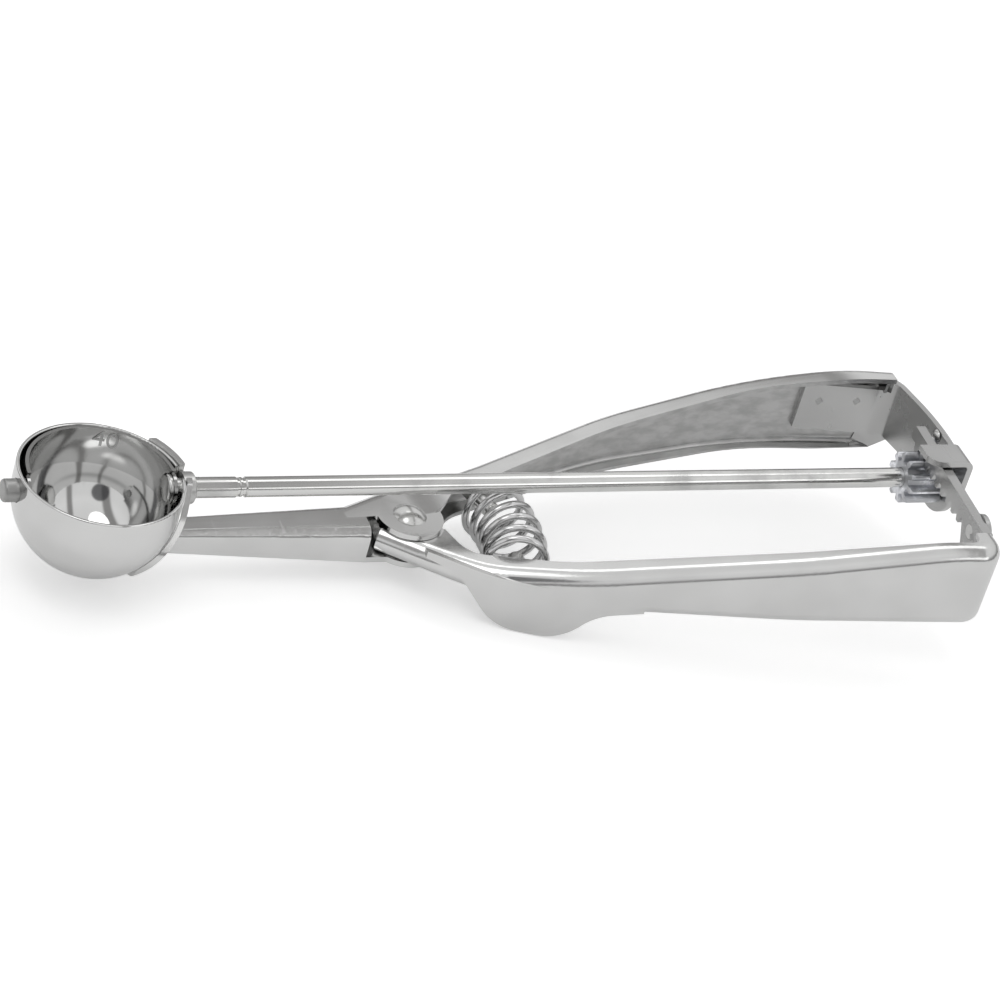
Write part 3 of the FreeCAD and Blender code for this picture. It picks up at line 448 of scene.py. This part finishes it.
class SCOOP_OT_spring(bpy.types.Operator):
    """Return spring that bends between the handles"""
    bl_idname = "scoop.spring"
    bl_label = "Return spring"

    def execute(self, context):
        sizes = context.scene.scoop_spring
        centre = ROD + SPRING_BOW_CENTRE * MM
        wire = turned_steel("spring_wire", tint_of("wire"), 0.16, 300.0)
        curve = bpy.data.curves.new("spring_line", "CURVE")
        curve.dimensions = "3D"
        self.wind(curve.splines.new("POLY"), centre, sizes)
        piece = link(bpy.data.objects.new("return_spring_wire", curve))
        add_tube(piece, sizes.wire / 2, wire)
        piece = baked(piece)
        smooth(piece.data, 40.0)
        piece.data.materials.clear()
        piece.data.materials.append(wire)
        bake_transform(piece)
        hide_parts("return_spring")
        return {"FINISHED"}

    def wind(self, line, centre, sizes):
        """Places a line's points along the coil, which is bent to the bow."""
        per_turn = 48
        line.points.add(int(sizes.turns * per_turn))
        for k, point in enumerate(line.points):
            turn = k / per_turn
            bow = sizes.far_angle + (sizes.near_angle - sizes.far_angle) * turn / sizes.turns
            reach = sizes.bow_radius + sizes.coil_radius * math.cos(math.tau * turn)
            rise = sizes.coil_radius * math.sin(math.tau * turn)
            point.co = (*(centre + bowed(bow, reach, rise)), 1.0)


def bowed(bow, reach, rise=0.0):
    """From the bow's centre: a point at an angle, a reach and a rise."""
    return Vector((reach * math.cos(bow), reach * math.sin(bow), rise))


def add_tube(piece, radius, material):
    """Geometry Nodes: round wire along the piece's curve, closed at both ends."""
    tree = bpy.data.node_groups.new("wire_tube", "GeometryNodeTree")
    tree.interface.new_socket("Geometry", in_out="INPUT", socket_type="NodeSocketGeometry")
    wire = tree.interface.new_socket("Wire radius", in_out="INPUT", socket_type="NodeSocketFloat")
    tree.interface.new_socket("Geometry", in_out="OUTPUT", socket_type="NodeSocketGeometry")
    start = tree.nodes.new("NodeGroupInput")
    end = tree.nodes.new("NodeGroupOutput")
    circle = tree.nodes.new("GeometryNodeCurvePrimitiveCircle")
    circle.inputs["Resolution"].default_value = 20  # sides of the wire
    tube = tree.nodes.new("GeometryNodeCurveToMesh")
    tube.inputs["Fill Caps"].default_value = True
    real = tree.nodes.new("GeometryNodeRealizeInstances")
    paint = tree.nodes.new("GeometryNodeSetMaterial")
    paint.inputs["Material"].default_value = material
    tree.links.new(start.outputs["Geometry"], tube.inputs["Curve"])
    tree.links.new(start.outputs["Wire radius"], circle.inputs["Radius"])
    tree.links.new(circle.outputs["Curve"], tube.inputs["Profile Curve"])
    tree.links.new(tube.outputs["Mesh"], real.inputs["Geometry"])
    tree.links.new(real.outputs["Geometry"], paint.inputs["Geometry"])
    tree.links.new(paint.outputs["Geometry"], end.inputs["Geometry"])
    modifier = piece.modifiers.new("wire", "NODES")
    modifier.node_group = tree
    modifier[wire.identifier] = radius


def lozenge(name, place, normal, reach, material, body):
    """Low diamond-shaped rim on a face, as a welding tip leaves it."""
    blunt = 0.06
    steep = 1 - blunt
    diamond = [(1, 0), (blunt, steep), (-blunt, steep), (-1, 0), (-blunt, -steep), (blunt, -steep)]
    form = bmesh.new()
    loops = []
    for share, rise in ((1.0, 0.0), (0.94, 0.05 * MM), (0.80, 0.05 * MM), (0.74, 0.01 * MM)):
        size = reach * share
        loops.append([form.verts.new((size * x, size * y * 1.15, rise)) for x, y in diamond])
    for low, high in zip(loops, loops[1:]):
        for k in range(len(diamond)):
            following = (k + 1) % len(diamond)
            form.faces.new((low[k], low[following], high[following], high[k]))
    form.faces.new(loops[-1])
    form.faces.new(loops[0][::-1])
    turn = Vector(normal).to_track_quat("Z", "Y").to_matrix().to_4x4()
    form.transform(Matrix.Translation(place) @ turn)
    built(name, form, material, body)


def face_hit(node, start, way):
    """Where a line first meets a CAD node, and the face's normal there."""
    mesh = frame["nodes"][node].data
    faces = [face.vertices for face in mesh.polygons]
    tree = BVHTree.FromPolygons([vert.co for vert in mesh.vertices], faces)
    place, normal, _, _ = tree.ray_cast(start, way)
    if place is None:
        raise RuntimeError("no face of " + node + " lies under its mark")
    return place, normal


class SCOOP_OT_marks(bpy.types.Operator):
    """Weld marks on the bracket and the rack, and a plain portion number on the blade"""
    bl_idname = "scoop.marks"
    bl_label = "Marks"

    def execute(self, context):
        sizes = context.scene.scoop_finish
        mark = polished_steel("pressed_mark", shade(tint_of("steel"), 0.62)[:3], 0.30)
        for name, node, spot, way in (
            ("weld_mark_front", "end_bracket", FRONT_WELD, (0, 1, 0)),
            ("weld_mark_rear", "end_bracket", REAR_WELD, (0, 1, 0)),
            ("rack_mark", "rack", RACK_MARK, (1, 0, 0)),
        ):
            place, normal = face_hit(node, ROD + spot * MM, Vector(way))
            lozenge(name, place, normal, sizes.mark_reach, mark, BODY_OF[node])
        self.add_number(mark, sizes.number_height)
        return {"FINISHED"}

    def add_number(self, material, size):
        """Plain portion number, raised on the blade's inner face and bent to it."""
        face_radius = 13.55 * MM
        number_turn = math.radians(21.0)
        number_rise = 1.3 * MM
        text = bpy.data.curves.new("portion_number", "FONT")
        text.body = "40"
        text.size = size
        text.align_x = "CENTER"
        text.align_y = "CENTER"
        text.extrude = 0.08 * MM
        text.resolution_u = 8
        flat = link(bpy.data.objects.new("number_outline", text))
        form = bmesh.new()
        form.from_mesh(evaluated(flat))
        bpy.data.objects.remove(flat)
        bmesh.ops.remove_doubles(form, verts=form.verts, dist=1e-6)
        bmesh.ops.triangulate(form, faces=form.faces)
        for vert in form.verts:
            across, up, out = vert.co
            lon = number_turn + across / face_radius
            lat = (up + number_rise) / face_radius
            around = Vector((math.sin(lon) * math.cos(lat), math.cos(lon) * math.cos(lat), math.sin(lat)))
            vert.co = ROD + around * (face_radius - out)
        built("portion_number", form, material, BODY_OF["scraper_blade"])


def camera_axes(azimuth, elevation, roll):
    forward = Vector((math.sin(azimuth) * math.cos(elevation), math.cos(azimuth) * math.cos(elevation),
                      -math.sin(elevation)))
    level = Vector((math.cos(azimuth), -math.sin(azimuth), 0.0))
    upright = level.cross(forward)
    right = level * math.cos(roll) + upright * math.sin(roll)
    up = upright * math.cos(roll) - level * math.sin(roll)
    return right, up, forward


def add_lamp(name, place, size, strength):
    """Oval soft lamp that looks at the scoop's middle."""
    lamp = bpy.data.lights.new(name, "AREA")
    lamp.shape = "ELLIPSE"
    lamp.size, lamp.size_y = size
    lamp.energy = strength * math.pi * size[0] * size[1]
    holder = link(bpy.data.objects.new(name, lamp))
    aim = (-Vector(place)).to_track_quat("-Z", "Y")
    holder.matrix_world = Matrix.Translation(place) @ aim.to_matrix().to_4x4()


class SCOOP_OT_studio(bpy.types.Operator):
    """Floor, soft studio light and the camera"""
    bl_idname = "scoop.studio"
    bl_label = "Studio"

    def execute(self, context):
        studio = context.scene.scoop_studio
        right, up, forward = camera_axes(studio.azimuth, studio.elevation, studio.roll)
        lens = bpy.data.cameras.new("camera")
        lens.sensor_width = 36.0
        lens.lens = studio.lens
        lens.clip_start = 0.01
        lens.clip_end = 50.0
        view = link(bpy.data.objects.new("camera", lens))
        turn = Matrix((right, up, -forward)).transposed().to_4x4()
        view.matrix_world = Matrix.Translation(ROD + Vector(studio.place)) @ turn
        context.scene.camera = view
        self.add_floor(studio)
        self.add_world(context.scene)
        add_lamp("key", (-0.30, -0.10, 0.80), (0.50, 0.35), 1.1)
        add_lamp("top", (0.25, 0.25, 0.80), (0.70, 0.25), 1.0)
        add_lamp("low", (0.45, -0.80, 0.30), (0.40, 0.25), 0.9)
        context.scene.view_settings.view_transform = "Standard"
        return {"FINISHED"}

    def add_floor(self, studio):
        reach = 6.0
        corners = [(-reach, -reach, 0), (reach, -reach, 0), (reach, reach, 0), (-reach, reach, 0)]
        mesh = bpy.data.meshes.new("floor")
        mesh.from_pydata(corners, [], [(0, 1, 2, 3)])
        floor = link(bpy.data.objects.new("floor", mesh))
        floor.location.z = -0.2 * MM
        material, nodes = new_material("pale_floor")
        grain = nodes.noise(nodes.place(), scale=9.0, detail=2.0)
        tint = nodes.mix(grain, shade(studio.floor, 1.0), shade(studio.floor, 0.985))
        body = nodes.add("ShaderNodeBsdfDiffuse", {}, {"Color": tint})
        seen = nodes.add("ShaderNodeLightPath", output="Is Camera Ray")
        glossy = nodes.add("ShaderNodeLightPath", output="Is Glossy Ray")
        lift = (seen + glossy * 0.2).clamped() * 0.35
        glow = nodes.add("ShaderNodeEmission", {}, {"Color": (1, 1, 1, 1), "Strength": lift})
        surface = nodes.add("ShaderNodeAddShader", {}, {0: body, 1: glow})
        nodes.add("ShaderNodeOutputMaterial", {}, {"Surface": surface})
        mesh.materials.append(material)

    def add_world(self, scene):
        world = bpy.data.worlds.new("studio")
        scene.world = world
        world.use_nodes = True
        nodes = Nodes(world.node_tree)
        where = nodes.add("ShaderNodeTexCoord", output="Generated")
        height = nodes.add("ShaderNodeSeparateXYZ", {}, {0: where}, output=2) * 0.5 + 0.5
        across = nodes.add("ShaderNodeSeparateXYZ", {}, {0: where}, output=0)
        # Greys of the room from straight down to straight up, darkest at the horizon
        greys = ((0.0, 0.68), (0.44, 0.66), (0.505, 0.20), (0.57, 0.30), (0.68, 0.84), (0.80, 0.86),
                 (0.86, 0.92), (1.0, 0.80))
        stops = [(position, (grey,) * 3) for position, grey in greys]
        room = nodes.add("ShaderNodeValToRGB", {"stops": stops}, {0: height})
        # Dark gaps between the soft boxes, and the dark stand behind the camera
        gaps = across.near(0.34, 0.03, 0.10).math("MAXIMUM", across.near(-0.52, 0.05, 0.12))
        gaps = gaps * height.ramp(0.50, 0.60)
        towards_camera = (-0.41, -0.73, 0.55)
        stand = nodes.add("ShaderNodeVectorMath", {"operation": "DOT_PRODUCT"},
                          {0: where, 1: towards_camera}, output=1).ramp(0.972, 0.984)
        room = nodes.mix(gaps * 0.72, room, (0.10, 0.095, 0.09, 1.0))
        room = nodes.mix(stand * 0.85, room, (0.06, 0.06, 0.065, 1.0))
        seen = nodes.add("ShaderNodeLightPath", output="Is Camera Ray")
        sky = nodes.mix(seen, room, (1.0, 1.0, 1.0, 1.0))
        light = nodes.add("ShaderNodeBackground", {}, {"Color": sky, "Strength": 1.0})
        nodes.add("ShaderNodeOutputWorld", {}, {"Surface": light})


class SCOOP_PT_panel(bpy.types.Panel):
    bl_idname = "SCOOP_PT_panel"
    bl_label = "Scoop"
    bl_space_type = "VIEW_3D"
    bl_region_type = "UI"
    bl_category = "Scoop"

    def draw(self, context):
        for operator in OPERATORS:
            self.layout.operator(operator.bl_idname)
        for group in GROUPS:
            owner = getattr(context.scene, group)
            for key in owner.__annotations__:
                self.layout.prop(owner, key)


GROUPS = {"scoop_spring": ScoopSpring, "scoop_finish": ScoopFinish, "scoop_studio": ScoopStudio}
OPERATORS = (SCOOP_OT_studio, SCOOP_OT_sheet, SCOOP_OT_turned, SCOOP_OT_pinion, SCOOP_OT_spring,
             SCOOP_OT_marks)


def register():
    for name, group in GROUPS.items():
        bpy.utils.register_class(group)
        setattr(bpy.types.Scene, name, bpy.props.PointerProperty(type=group))
    for operator in OPERATORS:
        bpy.utils.register_class(operator)
    bpy.utils.register_class(SCOOP_PT_panel)


def unregister():
    bpy.utils.unregister_class(SCOOP_PT_panel)
    for operator in reversed(OPERATORS):
        bpy.utils.unregister_class(operator)
    for name, group in GROUPS.items():
        delattr(bpy.types.Scene, name)
        bpy.utils.unregister_class(group)


def main():
    register()
    for operator in OPERATORS:
        group, name = operator.bl_idname.split(".")
        getattr(getattr(bpy.ops, group), name)()


if __name__ == "__main__":
    main()
